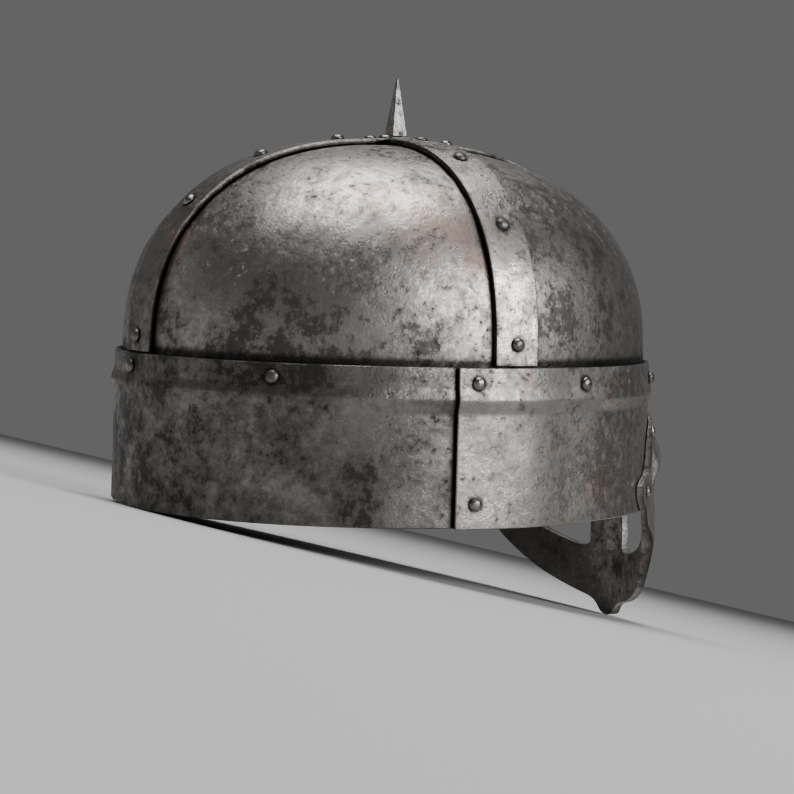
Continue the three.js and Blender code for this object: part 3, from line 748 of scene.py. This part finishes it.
# The ridge's flat sides, with its corners softened by a mean over a millimetre or so
def ridge(z):
    levels = [RIDGE_LOW, RIDGE_CREST, RIDGE_HIGH, BROW_HEIGHT]
    shifts = (-0.6, -0.3, 0.0, 0.3, 0.6)
    total = 0.0
    for shift in shifts:
        total = total + np.interp(z + shift, levels, [0.0, RIDGE_RISE, RIDGE_LEAN, 0.0])
    return total / len(shifts)


def lap_lift(along):
    return (BROW_THICKNESS + GAP) * ease(np.abs(along), LAP_LIFT_START, LAP_LIFT_FULL)


def brow_bands():
    plain_top = RIDGE_LOW - 1.0
    z = np.concatenate([np.linspace(0, plain_top, 17)[:-1], np.linspace(plain_top, BROW_HEIGHT, 32)])
    for name, start, end, count, material in (
        ("brow_band_front", -LAP_FRONT_END, LAP_FRONT_END, 190, FRONT_IRON),
        ("brow_band_rear", LAP_REAR_END, 2 * HALF_GIRTH - LAP_REAR_END, 170, SHADED_BROW_IRON),
    ):
        along = np.linspace(start, end, count)[:, None]
        lift = lap_lift(along) if name.endswith("front") else 0.0 * along
        turn = rim_turn(along)
        out = ridge(z) + lift
        outer = off_wall(turn, z + 0 * turn, out)
        inner = off_wall(turn, z + 0 * turn, out - BROW_THICKNESS)
        # Painted shade on the rear length beside the ends of the front one
        past_lap = np.minimum(along, 2 * HALF_GIRTH - along) - LAP_FRONT_END
        beside = np.exp(-np.maximum(past_lap, 0) / LAP_SHADE_REACH) + 0.0 * z
        shade_mask = beside if name.endswith("rear") else 0.0
        obj = sheet("fine_" + name, outer, inner, material, strength=0.3, seed=9.0, shade_mask=shade_mask)
        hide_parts(name)


def guard_back(along, z):
    return GAP + NOSE_LEAD * ease(-z, 0, NOSE_LEAD_DROP) * bell(along, 0, NOSE_LEAD_SPREAD)


def guard_thickness(along, z):
    below_top = height_at(GUARD_UPPER_EDGE, along) - z
    inside = ease(below_top, GUARD_MARGIN, GUARD_MARGIN + GUARD_MARGIN_SLOPE)
    whole = np.maximum(inside, ease(along, ARM_START, ARM_WHOLE))
    body = GUARD_MARGIN_THICKNESS + (GUARD_THICKNESS - GUARD_MARGIN_THICKNESS) * whole
    roll = bell(below_top, ROLL_DEPTH, ROLL_SPREAD) * (1 - ease(along, ARM_START, ARM_FLAT))
    ring = bell(z, -RING_DROP, RING_SPREAD) * ease(along, *RING_START)
    ring = ring * (1 - ease(along, RING_END, ARM_FLAT))
    nose = NOSE_EXTRA_THICKNESS * bell(along, 0, NOSE_SPREAD) * ease(-z, *NOSE_DEPTHS)
    tip = NOSE_TIP_FLARE * bell(along, 0, NOSE_TIP_SPREAD) * ease(-z, *NOSE_TIP_DROP)
    return body + GUARD_BROW_RISE * roll + GUARD_RING_RISE * ring + nose + tip


# Columns of heights from one edge to another
def rows_between(start, end, count):
    return start[:, None] + (end - start)[:, None] * np.linspace(0, 1, count)[None, :]


ROWS_BELOW_EYE = 15
ROWS_IN_EYE = 5
ROWS_ABOVE_EYE = 27


def eye_guard():
    half = np.concatenate(
        [
            np.linspace(0, NOSE_HALF_WIDTH, 11)[:-1],
            np.linspace(NOSE_HALF_WIDTH, EYE_CORNER, 36)[:-1],
            np.linspace(EYE_CORNER, GUARD_END, 34),
        ]
    )
    along = np.concatenate([-half[:0:-1], half])[:, None]
    distance = np.abs(along[:, 0])
    bottom = height_at(GUARD_LOWER_EDGE, distance)
    top = height_at(GUARD_UPPER_EDGE, distance)
    beyond = ease(distance, EYE_CORNER, ARM_WHOLE)
    lower = height_at(EYE_LOWER_EDGE, distance)
    upper = height_at(EYE_UPPER_EDGE, distance)
    lower = lower + (bottom + (top - bottom) * 0.4 - lower) * beyond
    upper = upper + (bottom + (top - bottom) * 0.5 - upper) * beyond
    below = rows_between(bottom, lower, ROWS_BELOW_EYE)
    eye = rows_between(lower, upper, ROWS_IN_EYE)
    above = rows_between(upper, top, ROWS_ABOVE_EYE)
    z = np.concatenate([below, eye[:, 1:], above[:, 1:]], 1)
    whole_along = np.broadcast_to(along, z.shape)
    distance = np.abs(whole_along)
    turn = turn_at(whole_along, z)
    back = guard_back(distance, z)
    outer = off_wall(turn, z, back + guard_thickness(distance, z))
    inner = off_wall(turn, z, back)
    metal = np.ones((z.shape[0] - 1, z.shape[1] - 1), bool)
    middle = (np.abs(along[1:, 0]) + np.abs(along[:-1, 0])) / 2
    over_eye = (middle > NOSE_HALF_WIDTH) & (middle < EYE_CORNER)
    first = ROWS_BELOW_EYE - 1
    metal[over_eye, first : first + ROWS_IN_EYE - 1] = False
    # The guard gets painted shade along its free edges and little on its inner face
    obj = sheet(
        "fine_eye_guard", outer, inner, GUARD_IRON, metal, strength=0.25, seed=13.0, edge_width=5.0,
        lip_shade=0.6, wall_shade=0.1,
    )
    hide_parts("eye_guard")


# Spike: a square pyramid with softened edges
def spike():
    top = crest_point(math.pi / 2, 0.0, crest_outer(0.0))[..., 2]
    base = float(top) + GAP
    levels = np.linspace(0, 1, SPIKE_LEVELS)
    points = []
    for level in levels:
        half = (SPIKE_BASE + (SPIKE_TIP - SPIKE_BASE) * level) / 2
        for x, y in ((-1, -1), (1, -1), (1, 1), (-1, 1)):
            points.append((x * half, y * half, base + SPIKE_HEIGHT * level))
    faces = [(3, 2, 1, 0)]
    for n in range(len(levels) - 1):
        for k in range(4):
            a, b = 4 * n + k, 4 * n + (k + 1) % 4
            faces.append((a, b, b + 4, a + 4))
    n = 4 * (len(levels) - 1)
    faces.append((n, n + 1, n + 2, n + 3))
    points = np.array(points, float)
    obj = add_mesh("fine_spike", points, faces, SPIKE_IRON, np.full(len(points), 0.9))
    round_edges(obj, SPIKE_EDGE_ROUND, segments=2)
    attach(obj, "root")
    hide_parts("spike")


# Half section of a rivet head: (share of the radius, share of the height)
RIVET_PROFILE = [
    (1.0, 0.0), (1.02, 0.12), (0.985, 0.3), (0.9, 0.52), (0.76, 0.72), (0.58, 0.87), (0.36, 0.96),
    (0.14, 0.995),
]
RIVET_SIDES = 32
RIVET_CLEAR = 0.05
RIVET_UNROUND = 0.035
RIVET_UNEVEN = 0.05


# A domed rivet head, hammered a little out of round
def rivet(name, radius, height, foot, outward, seed):
    outward = np.asarray(outward, float)
    outward /= np.linalg.norm(outward)
    side = np.cross(outward, [0.3, 0.5, 0.81])
    side /= np.linalg.norm(side)
    other = np.cross(outward, side)
    points = [foot + outward * RIVET_CLEAR]
    for out, up in RIVET_PROFILE:
        for k in range(RIVET_SIDES):
            a = 2 * math.pi * k / RIVET_SIDES
            c, s = math.cos(a), math.sin(a)
            reach = radius * out * (1 + RIVET_UNROUND * noise.noise(Vector((c, s, seed * 3.1))))
            dent = 1 + RIVET_UNEVEN * noise.noise(Vector((out * c * 2, out * s * 2, seed)))
            rise = RIVET_CLEAR + height * up * dent
            points.append(foot + (side * c + other * s) * reach + outward * rise)
    points.append(foot + outward * (RIVET_CLEAR + height))
    sides = RIVET_SIDES
    faces = []
    for k in range(sides):
        faces.append((0, 1 + (k + 1) % sides, 1 + k))
        for n in range(len(RIVET_PROFILE) - 1):
            a, b = 1 + n * sides + k, 1 + n * sides + (k + 1) % sides
            faces.append((a, b, b + sides, a + sides))
        n = 1 + (len(RIVET_PROFILE) - 1) * sides
        faces.append((n + k, n + (k + 1) % sides, len(points) - 1))
    points = np.array(points, float)
    low = np.linalg.norm(points - foot, axis=-1) / radius
    up = (points - foot) @ outward / height
    # Painted shade at the foot of the head, fading up its side
    painted_shade = np.clip(0.9 - 3.0 * up, 0, 1)
    obj = add_mesh("fine_" + name, points, faces, RIVET_IRON, np.clip(1.3 - low, 0, 0.8), painted_shade)
    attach(obj, "root")
    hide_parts(name)


def normal_of_wall(turn, z):
    return off_wall(turn, z, np.array(1.0)) - wall_point(turn, z)


# Name, radius, height, foot and outward direction of every rivet
def rivet_places():
    places = []
    count = 0
    for end in (0, 1):
        for degrees in CREST_RIVET_ANGLES:
            angle = math.radians(degrees if end == 0 else 180 - degrees)
            count += 1
            outward = dome_normal(crest_point(angle, 0.0, 0.0))
            foot = crest_point(angle, 0.0, BAND_OUTER)
            places.append((f"rivet_crest_{count:02d}", RIVET_RADIUS, RIVET_HEIGHT, foot, outward))
    count = 0
    for end in (0, 1):
        for degrees in SIDE_RIVET_ANGLES:
            angle = math.radians(degrees if end == 0 else 180 - degrees)
            count += 1
            outward = dome_normal(side_point(angle, 0.0, 0.0))
            foot = side_point(angle, 0.0, BAND_OUTER)
            places.append((f"rivet_side_{count:02d}", RIVET_RADIUS, RIVET_HEIGHT, foot, outward))
    count = 0
    for x in (-CROSSING_RIVET[0], CROSSING_RIVET[0]):
        for y in (-CROSSING_RIVET[1], CROSSING_RIVET[1]):
            angle = math.pi / 2 + (y - PLAN_CENTRE_Y) / DOME_RISE
            count += 1
            outward = dome_normal(crest_point(angle, x, 0.0))
            foot = crest_point(angle, x, crest_outer(y))
            name = f"rivet_crossing_{count:02d}"
            places.append((name, RIVET_RADIUS, CROSSING_RIVET_HEIGHT, foot, outward))
    on_brow = []
    for along, up in BROW_RIVETS:
        lift = float(lap_lift(along)) if along < LAP_FRONT_END else 0.0
        turn = float(rim_turn(along))
        on_brow += [(turn, up, lift), (-turn, up, lift)]
    rear = math.pi + math.asin(REAR_RIVET_TO_LEFT / HALF_WIDTH)
    on_brow += [(0.0, FRONT_RIVET_UP, 0.0), (rear, REAR_RIVET_UP, 0.0)]
    for count, (turn, up, lift) in enumerate(on_brow, 1):
        out = lift + float(ridge(up - 0.6 * RIVET_RADIUS))
        foot = off_wall(turn, up, np.array(out))
        outward = normal_of_wall(turn, up)
        places.append((f"rivet_brow_{count:02d}", RIVET_RADIUS, RIVET_HEIGHT, foot, outward))
    on_guard = []
    for along, up in GUARD_RIVETS:
        on_guard += [(along, up), (-along, up)]
    on_guard.append((0.0, GUARD_MIDDLE_RIVET_UP))
    for count, (along, up) in enumerate(on_guard, 1):
        distance = abs(along)
        out = float(guard_back(distance, up) + guard_thickness(distance, up))
        turn = float(turn_at(along, up))
        foot = off_wall(turn, up, np.array(out))
        outward = normal_of_wall(turn, up)
        name = f"rivet_guard_{count:02d}"
        places.append((name, SMALL_RIVET_RADIUS, SMALL_RIVET_HEIGHT, foot, outward))
    return places


# A plain material, for the pale floor
def plain(name, colour, roughness):
    material = bpy.data.materials.new(name)
    material.use_nodes = True
    shader = material.node_tree.nodes["Principled BSDF"]
    shader.inputs["Base Color"].default_value = (*colour, 1.0)
    shader.inputs["Roughness"].default_value = roughness
    return material


FLOOR_HALF = 6.0
FLOOR_GREY = (0.44, 0.435, 0.43)
SKY_STRENGTH = 0.13

# Softboxes: name, place, target, width and height in metres, and power in watts
SOFTBOXES = [
    ("top", (0.3, 0.35, 2.2), (0.0, 0.0, 0.1), 1.4, 1.4, 60.0),
    ("side", (-1.39, -0.44, 0.67), (0.0, -0.03, 0.1), 1.05, 0.62, 24.0),
    ("rear", (1.35, 1.2, 0.4), (0.0, 0.05, 0.1), 0.25, 0.6, 0.8),
]


def studio():
    size = FLOOR_HALF
    mesh = bpy.data.meshes.new("floor")
    corners = [(-size, -size, 0), (size, -size, 0), (size, size, 0), (-size, size, 0)]
    mesh.from_pydata(corners, [], [(0, 1, 2, 3)])
    mesh.materials.append(plain("floor_pale", FLOOR_GREY, 0.9))
    floor = bpy.data.objects.new("floor", mesh)
    bpy.context.scene.collection.objects.link(floor)
    world = bpy.data.worlds.new("studio")
    bpy.context.scene.world = world
    world.use_nodes = True
    background = world.node_tree.nodes["Background"]
    background.inputs["Color"].default_value = (1.0, 1.0, 1.0, 1.0)
    background.inputs["Strength"].default_value = SKY_STRENGTH


def softbox(name, place, target, width, height, power):
    data = bpy.data.lights.new(name, "AREA")
    data.shape = "RECTANGLE"
    data.size = width
    data.size_y = height
    data.energy = power
    light = bpy.data.objects.new(name, data)
    light.location = place
    aim = Vector(target) - Vector(place)
    light.rotation_euler = aim.to_track_quat("-Z", "Y").to_euler()
    bpy.context.scene.collection.objects.link(light)


add_camera()
studio()
for row in SOFTBOXES:
    softbox(*row)
RIVET_PLACES = rivet_places()
RIVET_FEET += [(foot, radius) for _, radius, _, foot, _ in RIVET_PLACES]
dome_plates()
bands()
brow_bands()
eye_guard()
spike()
for number, place in enumerate(RIVET_PLACES):
    rivet(*place, number)
